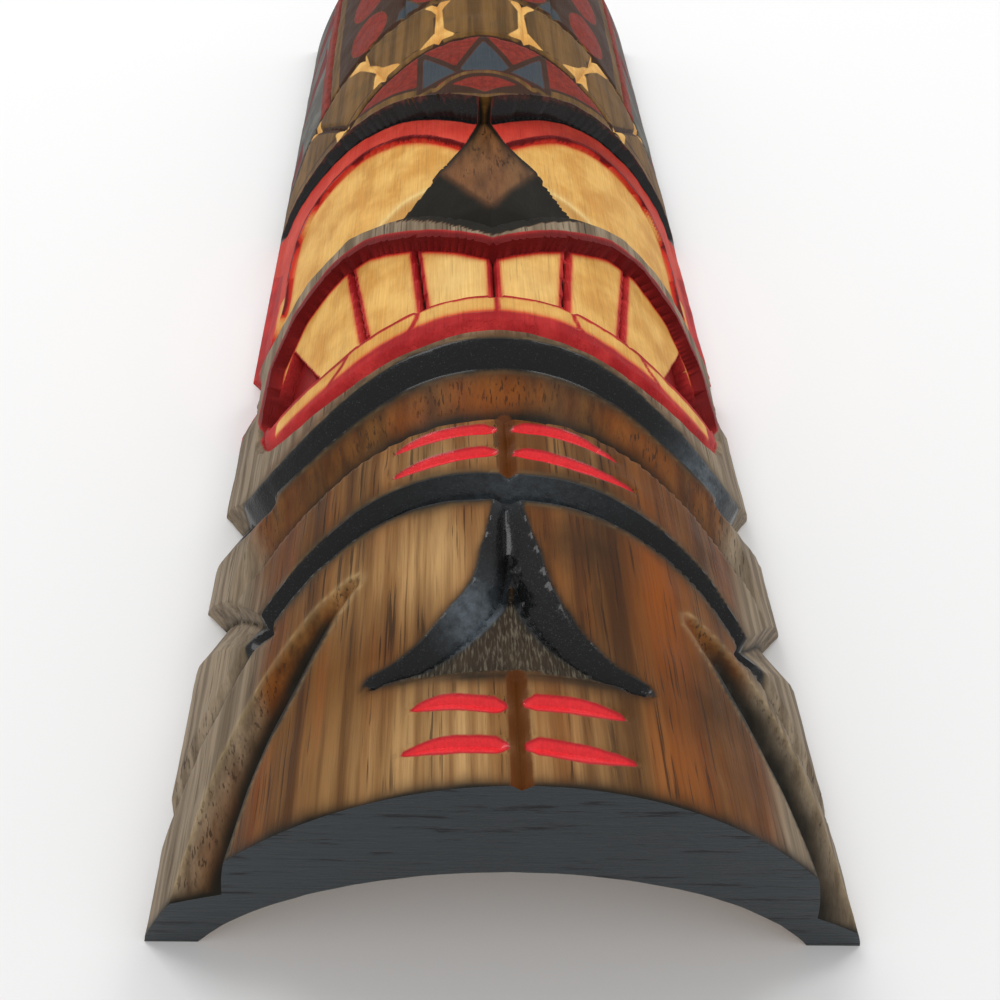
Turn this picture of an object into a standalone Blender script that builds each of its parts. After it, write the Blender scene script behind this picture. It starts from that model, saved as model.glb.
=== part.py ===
"""A wall mask carved from half a small log: a tiki face in tiers over the round front, hollowed behind.

It lies on its back, face up: X across the face, +Y from the chin to the top, +Z out of the face.
The origin is on the ground under its middle.
"""

import math

import bmesh
import bpy
from mathutils import Vector

# The log, in metres
MASK_LENGTH = 0.508
MASK_WIDTH = 0.178
CROWN_HEIGHT = 0.0815
SECTION_POWER = 0.83
SECTION_STEPS = 36
HOLLOW_HEIGHT = 0.042
FOOT_WIDTH = 0.0135
HOLLOW_STEPS = 22

# The layout is drawn on a grid where the mask is one wide and this many widths long, from the chin up
LAYOUT_LENGTH = 2.854

# How deep the gouge went, in metres
TIER_GROOVE_DEPTH = 0.0075
COVE_DEPTH = 0.0045
NOTCH_DEPTH = 0.0075
FLANGE_DEPTH = 0.0045
LONG_GROOVE_DEPTH = 0.0086
LONG_GROOVE_DEPTH_RIGHT = 0.0076
CRESCENT_DEPTH = 0.0055
TONGUE_DEPTH = 0.0045
POST_DEPTH = 0.002
STROKE_DEPTH = 0.0014
LIP_LINE_DEPTH = 0.002
TEETH_DEPTH = 0.0045
MOUTH_CORNER_DEPTH = 0.009
TOOTH_GAP_DEPTH = 0.0022
EYE_DEPTH = 0.010
EYE_SIDE_DEPTH = 0.002
EYELID_STEP = 0.0018
HEADDRESS_LINE_DEPTH = 0.0014
OVERCUT = 0.012

# How far the two faces of a V cut reach on the surface, towards the chin and the top, in widths of the mask
CHIN_GROOVE_FACES = (0.012, 0.036)
COVE_FACES = (0.01, 0.105)
MOUTH_GROOVE_FACES = (0.016, 0.056)
TIER_NOTCH_FACES = (0.09, 0.035)
LIP_NOTCH_FACES = (0.09, 0.045)
EAR_NOTCH_FACES = (0.2, 0.05)
FLANGE_FACES = (0.015, 0.08)
LONG_GROOVE_FACES = (0.09, 0.062)
LONG_GROOVE_FACES_RIGHT = (0.12, 0.07)
CRESCENT_FACES = (0.012, 0.036)
POST_FACES = (0.012, 0.012)
STROKE_FACES = (0.014, 0.014)
LIP_LINE_FACES = (0.012, 0.02)
TOOTH_GAP_FACES = (0.022, 0.022)
HEADDRESS_LINE_FACES = (0.01, 0.01)

# The share of its depth and width that a cut keeps where it runs out
NOTCH_RUN_OUT = 0.35
LONG_GROOVE_RUN_OUT = 0.15
CRESCENT_SIZES = (0.35, 0.9, 1, 1, 0.85, 0.6, 0.3)

# Lines across the face, from the middle to the left edge, as (across, along)
CHIN_GROOVE = [(0, 0.432), (-0.1, 0.438), (-0.2, 0.422), (-0.29, 0.378), (-0.35, 0.33)]
CHIN_GROOVE_RIGHT = [(0.1, 0.428), (0.2, 0.405), (0.27, 0.372), (0.315, 0.33), (0.35, 0.288)]
COVE = [(0, 0.593), (-0.1, 0.588), (-0.2, 0.568), (-0.3, 0.523), (-0.37, 0.478)]
MOUTH_GROOVE = [(0, 0.712), (-0.1, 0.707), (-0.2, 0.684), (-0.3, 0.648), (-0.4, 0.632), (-0.44, 0.645)]
LIP_LINE = [(0, 0.802), (-0.15, 0.782), (-0.28, 0.757), (-0.36, 0.762), (-0.41, 0.8), (-0.43, 0.87)]
TIER_NOTCH = [(-0.335, 0.335), (-0.385, 0.395), (-0.43, 0.45), (-0.47, 0.495), (-0.503, 0.53)]
TIER_NOTCH_RIGHT = [(0.33, 0.298), (0.385, 0.353), (0.43, 0.408), (0.47, 0.453), (0.503, 0.488)]
LIP_NOTCH = [(-0.37, 0.62), (-0.42, 0.65), (-0.46, 0.695), (-0.503, 0.75)]
EAR_NOTCH = [(-0.458, 1.01), (-0.468, 1.06), (-0.484, 1.105), (-0.503, 1.14)]
FLANGE_EDGE = [(-0.335, 0.338), (-0.395, 0.275), (-0.45, 0.205), (-0.482, 0.16), (-0.51, 0.12)]
FLANGE_EDGE_RIGHT = [(0.33, 0.3), (0.365, 0.265), (0.405, 0.225), (0.445, 0.18), (0.482, 0.14), (0.51, 0.105)]

# Grooves with a side of their own. The tongue lies between the crescents and slopes down to its tip
LONG_GROOVE_LEFT = [(-0.207, 0.328), (-0.257, 0.285), (-0.307, 0.22), (-0.368, 0.12), (-0.422, -0.06)]
LONG_GROOVE_RIGHT = [(0.246, 0.285), (0.292, 0.25), (0.352, 0.19), (0.415, 0.1), (0.468, -0.06)]
CRESCENT_LEFT = [(-0.002, 0.43), (-0.004, 0.335), (-0.016, 0.27), (-0.05, 0.22)]
CRESCENT_LEFT += [(-0.089, 0.183), (-0.127, 0.162), (-0.172, 0.154)]
CRESCENT_RIGHT = [(0.002, 0.43), (0.006, 0.33), (0.018, 0.26), (0.04, 0.212)]
CRESCENT_RIGHT += [(0.07, 0.177), (0.11, 0.15), (0.157, 0.141)]
TONGUE_BASE = 0.12
TONGUE_MARGIN = 0.08
TONGUE_STEPS = 6
POSTS = [[(0, -0.03), (0, 0.135)], [(0.004, 0.455), (0.004, 0.6)]]
STROKES = [
    [(-0.135, 0.052), (-0.08, 0.054), (-0.018, 0.05)],
    [(-0.125, 0.108), (-0.08, 0.11), (-0.018, 0.1)],
    [(0.012, 0.05), (0.07, 0.043), (0.135, 0.042)],
    [(0.012, 0.105), (0.07, 0.103), (0.13, 0.099)],
    [(-0.16, 0.547), (-0.1, 0.558), (-0.015, 0.562)],
    [(-0.16, 0.497), (-0.1, 0.508), (-0.015, 0.516)],
    [(0.018, 0.565), (0.09, 0.56), (0.17, 0.54)],
    [(0.018, 0.515), (0.1, 0.502), (0.19, 0.49)],
]

# The mouth: the inner edge of the lips, then the gaps between the teeth
LOWER_LIP_EDGE = [(0, 0.885), (-0.15, 0.872), (-0.3, 0.836), (-0.4, 0.832)]
UPPER_LIP_EDGE = [(-0.43, 0.93), (-0.425, 1.05), (-0.38, 1.13)]
UPPER_LIP_EDGE += [(-0.3, 1.167), (-0.24, 1.158), (-0.14, 1.1)]
LIP_BOW = (0, 1.03)
MOUTH_CORNER = [(-0.4, 1.075), (-0.305, 0.84), (-0.36, 0.836), (-0.425, 0.85), (-0.43, 0.95)]
TOOTH_GAPS = [
    [(-0.282, 1.157), (-0.232, 0.866)],
    [(-0.149, 1.094), (-0.127, 0.88)],
    [(0, 1.024), (0.001, 0.892)],
]

# The eyes, between the upper lip and the brow
EYE_FLOOR_EDGE = [(-0.54, 1.145), (-0.49, 1.135), (-0.44, 1.145)]
EYE_FLOOR_EDGE += [(-0.36, 1.205), (-0.27, 1.222), (-0.15, 1.175)]
GUM_BOW = (0, 1.09)
BROW_EDGE = [(0, 1.585), (-0.1, 1.632), (-0.2, 1.685), (-0.3, 1.722), (-0.4, 1.738), (-0.54, 1.735)]
EYELID_EDGE = [(-0.02, 1.47), (-0.1, 1.53), (-0.2, 1.6), (-0.3, 1.635)]
EYELID_EDGE += [(-0.4, 1.625), (-0.445, 1.55), (-0.45, 1.3)]
EYEBALL_MARGIN = 0.012
NOSE_ROOT = (0, 1.61, -0.065)
NOSE_SHOULDER = (-0.1, 1.34, -0.018)
NOSE_TIP = (0, 1.165, -0.001)
NOSE_WING = (-0.225, 1.25, -0.06)
NOSE_BASE = (0, 1.085, -0.03)
NOSE_BURIED = -0.12

# The headdress: two arches and what divides the plates, the petals and the sides
FIELD_ARCH = [(0, 1.9), (-0.1, 1.882), (-0.2, 1.835), (-0.27, 1.785), (-0.31, 1.735)]
BAND_ARCH = [(0, 2.15), (-0.12, 2.14), (-0.22, 2.115), (-0.3, 2.085)]
BAND_ARCH += [(-0.37, 2.045), (-0.44, 1.985), (-0.49, 1.87)]
PLATE_GAPS = [
    [(-0.102, 1.885), (-0.108, 2.13)],
    [(-0.225, 1.83), (-0.295, 2.08)],
    [(-0.315, 1.75), (-0.42, 1.99)],
]
SIDE_BORDER = [(-0.385, 2.03), (-0.4, 2.3), (-0.405, 2.6), (-0.405, 2.88)]
PETAL_GAPS = [[(-0.035, 2.16), (-0.04, 2.88)], [(-0.19, 2.13), (-0.215, 2.88)]]

WOOD_COLOUR = (0.3, 0.16, 0.07, 1)
WOOD_ROUGHNESS = 0.45
SMOOTH_ANGLE = math.radians(25)


def clear_scene():
    for obj in list(bpy.data.objects):
        bpy.data.objects.remove(obj, do_unlink=True)


def wood_material():
    material = bpy.data.materials.new("carved_wood")
    material.use_nodes = True
    shader = material.node_tree.nodes["Principled BSDF"]
    shader.inputs["Base Color"].default_value = WOOD_COLOUR
    shader.inputs["Roughness"].default_value = WOOD_ROUGHNESS
    shader.inputs["Metallic"].default_value = 0
    return material


def section_height(x, half_width=MASK_WIDTH / 2, crown=CROWN_HEIGHT):
    """The log's height over the ground at a distance from the middle line."""
    share = min(abs(x) / half_width, 1)
    return crown * (1 - share * share) ** SECTION_POWER


def on_log(across, along, lift=0):
    """A point of the layout, on the log or above it by a share of its width. Past the feet it goes down."""
    x = across * MASK_WIDTH
    y = along / LAYOUT_LENGTH * MASK_LENGTH - MASK_LENGTH / 2
    past = max(abs(x) - MASK_WIDTH / 2, 0)
    return Vector((x, y, section_height(x) + lift * MASK_WIDTH - 2 * past))


def log_normal(x):
    step = MASK_WIDTH / 400
    x = max(min(x, MASK_WIDTH / 2 - step), step - MASK_WIDTH / 2)
    slope = (section_height(x + step) - section_height(x - step)) / (2 * step)
    return Vector((-slope, 0, 1)).normalized()


def mirrored(path):
    return [(-across, *rest) for across, *rest in path]


def both_halves(half):
    """A line drawn from the middle to the left, carried on to the right."""
    return half[::-1] + mirrored(half)[1:]


def smooth_path(points, steps):
    """Points on a Catmull-Rom curve through the given ones, with this many between each pair."""
    ends = [2 * Vector(points[0]) - Vector(points[1]), 2 * Vector(points[-1]) - Vector(points[-2])]
    line = [ends[0]] + [Vector(point) for point in points] + [ends[1]]
    found = []
    for a, b, c, d in zip(line, line[1:], line[2:], line[3:]):
        for step in range(steps):
            t = step / steps
            bend = (2 * a - 5 * b + 4 * c - d) * t + (3 * b - 3 * c + d - a) * t * t
            found.append(b + (c - a + bend) * t / 2)
    return found + [line[-2]]


def new_object(name, form):
    mesh = bpy.data.meshes.new(name)
    bmesh.ops.recalc_face_normals(form, faces=form.faces)
    if form.calc_volume(signed=True) < 0:
        bmesh.ops.reverse_faces(form, faces=form.faces)
    form.to_mesh(mesh)
    form.free()
    mesh.shade_smooth()
    mesh.set_sharp_from_angle(angle=SMOOTH_ANGLE)
    obj = bpy.data.objects.new(name, mesh)
    bpy.context.collection.objects.link(obj)
    return obj


def as_cutter(obj):
    obj.hide_render = True
    obj.display_type = "WIRE"
    return obj


def boolean(target, tool, operation="DIFFERENCE"):
    modifier = target.modifiers.new(tool.name, "BOOLEAN")
    modifier.object = tool
    modifier.operation = operation
    modifier.solver = "EXACT"


def loft(name, rings):
    """A closed solid through rings of points, capped at both ends."""
    form = bmesh.new()
    made = [[form.verts.new(point) for point in ring] for ring in rings]
    for first, second in zip(made, made[1:]):
        for i in range(len(first)):
            j = (i + 1) % len(first)
            form.faces.new((first[i], first[j], second[j], second[i]))
    form.faces.new(made[0])
    form.faces.new(made[-1])
    bmesh.ops.triangulate(form, faces=form.faces)
    return new_object(name, form)


def section_ring(y, half_width, crown, floor):
    """The log's outline across, at one place along it, closed along the floor."""
    ring = []
    for step in range(SECTION_STEPS + 1):
        x = half_width * math.sin(math.pi * (step / SECTION_STEPS - 0.5))
        ring.append((x, y, section_height(x, half_width, crown)))
    if floor < 0:
        ring = [(-half_width, y, floor)] + ring + [(half_width, y, floor)]
    return ring


def half_log():
    reach = MASK_LENGTH / 2
    return loft("mask", [section_ring(y, MASK_WIDTH / 2, CROWN_HEIGHT, 0) for y in (-reach, reach)])


def core(name, depth, side_depth):
    """What stays of the log under a recess, with its depth at the crown and at the sides."""
    reach = MASK_LENGTH / 2 + OVERCUT
    half_width = MASK_WIDTH / 2 - side_depth
    rings = [section_ring(y, half_width, CROWN_HEIGHT - depth, -OVERCUT) for y in (-reach, reach)]
    return as_cutter(loft(name, rings))


def hollow():
    """A round gouged trough along the whole back, between the two feet."""
    half = MASK_WIDTH / 2 - FOOT_WIDTH
    radius = (half * half + HOLLOW_HEIGHT * HOLLOW_HEIGHT) / (2 * HOLLOW_HEIGHT)
    centre = HOLLOW_HEIGHT - radius
    spread = math.acos((-OVERCUT - centre) / radius)
    reach = MASK_LENGTH / 2 + OVERCUT
    rings = []
    for y in (-reach, reach):
        angles = [spread * (2 * step / HOLLOW_STEPS - 1) for step in range(HOLLOW_STEPS + 1)]
        rings.append([(radius * math.sin(angle), y, centre + radius * math.cos(angle)) for angle in angles])
    return as_cutter(loft("hollow", rings))


def groove(name, path, depth, faces, taper=(1, 1), steps=3):
    """A V cut along a line that runs from left to right, or down. taper is what it keeps of its size."""
    near, far = faces
    line = [on_log(*point) for point in smooth_path(path, steps)]
    rings = []
    for i, point in enumerate(line):
        ahead = (line[min(i + 1, len(line) - 1)] - line[max(i - 1, 0)]).normalized()
        out = log_normal(point.x)
        side = out.cross(ahead).normalized()
        stretch, past = divmod(i * (len(taper) - 1) / (len(line) - 1), 1)
        ends = taper[int(stretch):][:2]
        share = ends[0] + (ends[-1] - ends[0]) * past
        bottom = point - out * depth * share
        top_edge = point + side * far * MASK_WIDTH * share
        low_edge = point - side * near * MASK_WIDTH * share
        rings.append([bottom, bottom + (top_edge - bottom) * 2, bottom + (low_edge - bottom) * 2])
    for end, neighbour in ((0, 1), (-1, -2)):
        step_out = (line[end] - line[neighbour]).normalized() * MASK_WIDTH * 0.004
        rings[end] = [corner + step_out for corner in rings[end]]
    return as_cutter(loft(name, rings))


def prism(name, outline):
    """An upright block over an outline of the layout."""
    rings = []
    for z in (-OVERCUT, CROWN_HEIGHT + OVERCUT):
        rings.append([(on_log(*point).x, on_log(*point).y, z) for point in outline])
    return as_cutter(loft(name, rings))


def recess(name, outline, depth, side_depth):
    """An area sunk to an even depth under the log's surface, with upright walls."""
    block = prism(name, outline)
    boolean(block, core(name + "_floor", depth, side_depth))
    return block


def solid_of_points(name, points):
    form = bmesh.new()
    made = [form.verts.new(on_log(*point)) for point in points]
    bmesh.ops.convex_hull(form, input=made)
    loose = [vertex for vertex in form.verts if not vertex.link_faces]
    bmesh.ops.delete(form, geom=loose, context="VERTS")
    return new_object(name, form)


def tongue():
    """What is cut away over the tongue, from one crescent to the other."""
    over = OVERCUT / MASK_WIDTH
    slope = TONGUE_DEPTH / MASK_WIDTH / (CRESCENT_LEFT[2][1] - TONGUE_BASE)
    sides = smooth_path(CRESCENT_LEFT[:1:-1], 3)[:-1], smooth_path(CRESCENT_RIGHT[:1:-1], 3)[:-1]
    rings = []
    for left, right in zip(*sides):
        start, end = left.lerp(right, TONGUE_MARGIN), right.lerp(left, TONGUE_MARGIN)
        line = [start.lerp(end, step / TONGUE_STEPS) for step in range(TONGUE_STEPS + 1)]
        floor = [on_log(across, along, slope * (TONGUE_BASE - along)) for across, along in line]
        rings.append(floor + [on_log(*end, over), on_log(*start, over)])
    return as_cutter(loft("tongue", rings))


def tier_cutters():
    """The grooves that part the chin, the middle tier and the mouth, and the notches of the side lobes."""
    yield groove("chin_groove", CHIN_GROOVE[::-1] + CHIN_GROOVE_RIGHT, TIER_GROOVE_DEPTH, CHIN_GROOVE_FACES)
    yield groove("cove", both_halves(COVE), COVE_DEPTH, COVE_FACES)
    yield groove("mouth_groove", both_halves(MOUTH_GROOVE), TIER_GROOVE_DEPTH, MOUTH_GROOVE_FACES)
    for name, left, right, depth, faces in (
        ("tier_notch", TIER_NOTCH, TIER_NOTCH_RIGHT, NOTCH_DEPTH, TIER_NOTCH_FACES),
        ("lip_notch", LIP_NOTCH, mirrored(LIP_NOTCH), NOTCH_DEPTH, LIP_NOTCH_FACES),
        ("ear_notch", EAR_NOTCH, mirrored(EAR_NOTCH), NOTCH_DEPTH, EAR_NOTCH_FACES),
        ("flange_edge", FLANGE_EDGE, FLANGE_EDGE_RIGHT, FLANGE_DEPTH, FLANGE_FACES),
    ):
        yield groove(name + "_left", left[::-1], depth, faces, (1, NOTCH_RUN_OUT))
        yield groove(name + "_right", right, depth, faces, (NOTCH_RUN_OUT, 1))


def chin_cutters():
    """The chin plate's cuts: long side grooves, crescents round the sunk tongue, posts and strokes."""
    left, right = LONG_GROOVE_LEFT[::-1], LONG_GROOVE_RIGHT
    yield groove("long_groove_left", left, LONG_GROOVE_DEPTH, LONG_GROOVE_FACES, (1, LONG_GROOVE_RUN_OUT))
    yield groove(
        "long_groove_right", right, LONG_GROOVE_DEPTH_RIGHT, LONG_GROOVE_FACES_RIGHT, (LONG_GROOVE_RUN_OUT, 1)
    )
    yield groove("crescent_left", CRESCENT_LEFT[::-1], CRESCENT_DEPTH, CRESCENT_FACES, CRESCENT_SIZES[::-1])
    yield groove("crescent_right", CRESCENT_RIGHT, CRESCENT_DEPTH, CRESCENT_FACES, CRESCENT_SIZES)
    yield tongue()
    for i, path in enumerate(POSTS):
        yield groove(f"post_{i}", path, POST_DEPTH, POST_FACES, steps=1)
    for i, path in enumerate(STROKES):
        yield groove(f"stroke_{i}", path, STROKE_DEPTH, STROKE_FACES, steps=2)


def mouth_cutters():
    """The mouth sunk between the lips, deeper at its corners, and the gaps between its teeth."""
    teeth = both_halves(LOWER_LIP_EDGE) + both_halves([LIP_BOW, *UPPER_LIP_EDGE[::-1]])[::-1]
    yield recess("mouth", teeth, TEETH_DEPTH, TEETH_DEPTH)
    for side, corner in (("left", MOUTH_CORNER), ("right", mirrored(MOUTH_CORNER))):
        yield recess("mouth_corner_" + side, corner, MOUTH_CORNER_DEPTH, MOUTH_CORNER_DEPTH)
    yield groove("lip_line", both_halves(LIP_LINE), LIP_LINE_DEPTH, LIP_LINE_FACES)
    gaps = TOOTH_GAPS + [mirrored(gap) for gap in TOOTH_GAPS[:-1]]
    for i, gap in enumerate(gaps):
        yield groove(f"tooth_gap_{i}", gap, TEETH_DEPTH + TOOTH_GAP_DEPTH, TOOTH_GAP_FACES, steps=1)


def eye_cutters():
    """The two eyes, sunk round the nose between the lips and the brow, with the eyeballs a step deeper."""
    lower_edge = [*EYE_FLOOR_EDGE, GUM_BOW]
    eyes = both_halves(lower_edge[::-1]) + both_halves(BROW_EDGE)[::-1]
    yield recess("eyes", eyes, EYE_DEPTH, EYE_SIDE_DEPTH)
    lid = EYELID_EDGE + [(across, along + EYEBALL_MARGIN) for across, along in lower_edge[1:]]
    for side, outline in (("left", lid), ("right", mirrored(lid))):
        yield recess("eyeball_" + side, outline, EYE_DEPTH + EYELID_STEP, EYE_SIDE_DEPTH + EYELID_STEP)


def headdress_cutters():
    """The scored lines of the headdress."""
    lines = [both_halves(FIELD_ARCH), both_halves(BAND_ARCH)]
    for half in (*PLATE_GAPS, SIDE_BORDER, *PETAL_GAPS):
        lines += [half, mirrored(half)]
    for i, line in enumerate(lines):
        yield groove(f"headdress_line_{i}", line, HEADDRESS_LINE_DEPTH, HEADDRESS_LINE_FACES)


def nose():
    """A four-sided wedge that rises from the brow to the tip and spreads over the cheeks."""
    points = [NOSE_ROOT, NOSE_SHOULDER, NOSE_TIP, NOSE_WING, NOSE_BASE]
    points += mirrored(points)
    points += [(across, along, NOSE_BURIED) for across, along, lift in (NOSE_ROOT, NOSE_WING, NOSE_BASE)]
    return as_cutter(solid_of_points("nose", points))


def build():
    clear_scene()
    mask = half_log()
    mask.data.materials.append(wood_material())
    for cutter in (*tier_cutters(), *chin_cutters(), *mouth_cutters(), *eye_cutters(), *headdress_cutters()):
        boolean(mask, cutter)
    boolean(mask, nose(), "UNION")
    boolean(mask, hollow())


build()
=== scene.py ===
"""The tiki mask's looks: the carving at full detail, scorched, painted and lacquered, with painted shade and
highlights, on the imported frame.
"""

import math

import bmesh
import bpy
import numpy as np
from mathutils import Matrix, Vector


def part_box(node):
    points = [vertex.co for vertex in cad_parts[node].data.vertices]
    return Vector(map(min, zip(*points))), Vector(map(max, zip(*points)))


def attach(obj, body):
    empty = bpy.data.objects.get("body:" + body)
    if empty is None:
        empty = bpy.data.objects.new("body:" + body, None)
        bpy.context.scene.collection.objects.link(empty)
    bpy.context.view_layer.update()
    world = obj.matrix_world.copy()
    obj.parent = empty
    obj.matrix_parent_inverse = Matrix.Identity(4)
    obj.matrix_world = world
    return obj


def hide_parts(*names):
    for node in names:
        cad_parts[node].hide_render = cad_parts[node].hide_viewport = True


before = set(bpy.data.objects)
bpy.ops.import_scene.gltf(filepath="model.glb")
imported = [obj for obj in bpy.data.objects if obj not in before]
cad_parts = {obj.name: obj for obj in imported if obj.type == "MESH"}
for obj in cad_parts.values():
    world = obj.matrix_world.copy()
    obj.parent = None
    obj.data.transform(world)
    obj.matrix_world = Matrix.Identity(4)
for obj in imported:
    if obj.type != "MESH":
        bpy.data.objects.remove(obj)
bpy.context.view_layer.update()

# The log, in metres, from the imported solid
LOW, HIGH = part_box("mask")
WIDTH = HIGH.x - LOW.x
LENGTH = HIGH.y - LOW.y
CROWN = HIGH.z - LOW.z
HALF = WIDTH / 2
SECTION_POWER = 0.83
HOLLOW_HEIGHT = 0.042
FOOT_WIDTH = 0.0135

# The layout is drawn on a grid where the mask is one wide and this many widths long, from the chin up
LAYOUT_LENGTH = 2.854
MM = 1000
UNIT = WIDTH * MM

# The carved sheet's cells: how many across and along, and where along the finer ones stop
COLUMNS = 214
ROWS = 414
FINE_ROWS = 320
FINE_UP_TO = 0.655
SNAP = 0.58
WIDE_FACE = 1.9
HOLLOW_COLUMNS = 56
HOLLOW_ROWS = 96
RIM = 0.999
SMOOTH_ANGLE = math.radians(38)

# How deep the gouge went, in millimetres
TIER_GROOVE_DEPTH = 7.5
COVE_DEPTH = 4.5
NOTCH_DEPTH = 7.5
FLANGE_DEPTH = 4.5
LONG_GROOVE_DEPTH = 8.6
LONG_GROOVE_DEPTH_RIGHT = 7.6
CRESCENT_DEPTH = 5.5
TONGUE_DEPTH = 4.5
POST_DEPTH = 2.0
STROKE_DEPTH = 1.4
LIP_LINE_DEPTH = 2.0
TEETH_DEPTH = 4.5
MOUTH_CORNER_DEPTH = 9.0
TOOTH_GAP_DEPTH = 2.2
EYE_DEPTH = 10.0
EYE_SIDE_DEPTH = 2.0
EYELID_STEP = 1.8
HEADDRESS_LINE_DEPTH = 1.4

# How far the two faces of a V cut reach on the surface, towards the chin and the top, in layout units
CHIN_GROOVE_FACES = (0.012, 0.036)
COVE_FACES = (0.01, 0.105)
MOUTH_GROOVE_FACES = (0.016, 0.056)
TIER_NOTCH_FACES = (0.09, 0.035)
LIP_NOTCH_FACES = (0.09, 0.045)
EAR_NOTCH_FACES = (0.2, 0.05)
FLANGE_FACES = (0.015, 0.08)
LONG_GROOVE_FACES = (0.09, 0.062)
LONG_GROOVE_FACES_RIGHT = (0.12, 0.07)
CRESCENT_FACES = (0.012, 0.036)
POST_FACES = (0.012, 0.012)
STROKE_FACES = (0.014, 0.014)
LIP_LINE_FACES = (0.012, 0.02)
TOOTH_GAP_FACES = (0.013, 0.013)
HEADDRESS_LINE_FACES = (0.01, 0.01)
NOTCH_RUN_OUT = 0.35
LONG_GROOVE_RUN_OUT = 0.15
CRESCENT_SIZES = (0.35, 0.9, 1, 1, 0.85, 0.6, 0.3)

# Lines across the face, from the middle to the left edge, as (across, along)
CHIN_GROOVE = [(0, 0.432), (-0.1, 0.438), (-0.2, 0.422), (-0.29, 0.378), (-0.35, 0.33)]
CHIN_GROOVE_RIGHT = [(0.1, 0.428), (0.2, 0.405), (0.27, 0.372), (0.315, 0.33), (0.35, 0.288)]
COVE = [(0, 0.593), (-0.1, 0.588), (-0.2, 0.568), (-0.3, 0.523), (-0.37, 0.478)]
MOUTH_GROOVE = [(0, 0.712), (-0.1, 0.707), (-0.2, 0.684), (-0.3, 0.648), (-0.4, 0.632), (-0.44, 0.645)]
LIP_LINE = [(0, 0.802), (-0.15, 0.782), (-0.28, 0.757), (-0.36, 0.762), (-0.41, 0.8), (-0.43, 0.87)]
TIER_NOTCH = [(-0.335, 0.335), (-0.385, 0.395), (-0.43, 0.45), (-0.47, 0.495), (-0.503, 0.53)]
TIER_NOTCH_RIGHT = [(0.33, 0.298), (0.385, 0.353), (0.43, 0.408), (0.47, 0.453), (0.503, 0.488)]
LIP_NOTCH = [(-0.37, 0.62), (-0.42, 0.65), (-0.46, 0.695), (-0.503, 0.75)]
EAR_NOTCH = [(-0.458, 1.01), (-0.468, 1.06), (-0.484, 1.105), (-0.503, 1.14)]
FLANGE_EDGE = [(-0.335, 0.338), (-0.395, 0.275), (-0.45, 0.205), (-0.482, 0.16), (-0.51, 0.12)]
FLANGE_EDGE_RIGHT = [(0.33, 0.3), (0.365, 0.265), (0.405, 0.225), (0.445, 0.18), (0.482, 0.14), (0.51, 0.105)]

# Grooves with a side of their own. The tongue lies between the crescents and slopes down to its tip
LONG_GROOVE_LEFT = [(-0.207, 0.328), (-0.257, 0.285), (-0.307, 0.22), (-0.368, 0.12), (-0.422, -0.06)]
LONG_GROOVE_RIGHT = [(0.246, 0.285), (0.292, 0.25), (0.352, 0.19), (0.415, 0.1), (0.468, -0.06)]
CRESCENT_LEFT = [(-0.002, 0.43), (-0.004, 0.335), (-0.016, 0.27), (-0.05, 0.22)]
CRESCENT_LEFT += [(-0.089, 0.183), (-0.127, 0.162), (-0.172, 0.154)]
CRESCENT_RIGHT = [(0.002, 0.43), (0.006, 0.33), (0.018, 0.26), (0.04, 0.212)]
CRESCENT_RIGHT += [(0.07, 0.177), (0.11, 0.15), (0.157, 0.141)]
TONGUE_BASE = 0.12
POSTS = [[(0, -0.03), (0, 0.135)], [(0.004, 0.455), (0.004, 0.6)]]
STROKES = [
    [(-0.135, 0.052), (-0.08, 0.054), (-0.018, 0.05)],
    [(-0.125, 0.108), (-0.08, 0.11), (-0.018, 0.1)],
    [(0.135, 0.042), (0.07, 0.043), (0.012, 0.05)],
    [(0.13, 0.099), (0.07, 0.103), (0.012, 0.105)],
    [(-0.16, 0.547), (-0.1, 0.558), (-0.015, 0.562)],
    [(-0.16, 0.497), (-0.1, 0.508), (-0.015, 0.516)],
    [(0.17, 0.54), (0.09, 0.56), (0.018, 0.565)],
    [(0.19, 0.49), (0.1, 0.502), (0.018, 0.515)],
]
STROKE_HALF_WIDTH = 0.0115

# The mouth: the inner edge of the lips, then the gaps between the teeth
LOWER_LIP_EDGE = [(0, 0.885), (-0.15, 0.872), (-0.3, 0.836), (-0.4, 0.832)]
UPPER_LIP_EDGE = [(-0.43, 0.93), (-0.425, 1.05), (-0.38, 1.13)]
UPPER_LIP_EDGE += [(-0.3, 1.167), (-0.24, 1.158), (-0.14, 1.1)]
LIP_BOW = (0, 1.03)
MOUTH_CORNER = [(-0.4, 1.075), (-0.305, 0.84), (-0.36, 0.836), (-0.425, 0.85), (-0.43, 0.95)]
TOOTH_GAPS = [
    [(-0.282, 1.157), (-0.232, 0.866)],
    [(-0.149, 1.094), (-0.127, 0.88)],
    [(0, 1.024), (0.001, 0.892)],
]
GUM_WIDTH = 0.022
LIP_STRIP = 8.0
LIP_MARKS = [
    [(-0.127, 0.882), (-0.137, 0.84), (-0.158, 0.805)],
    [(-0.24, 0.862), (-0.262, 0.82), (-0.3, 0.772)],
    [(0.001, 0.89), (0.003, 0.815)],
]

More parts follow.
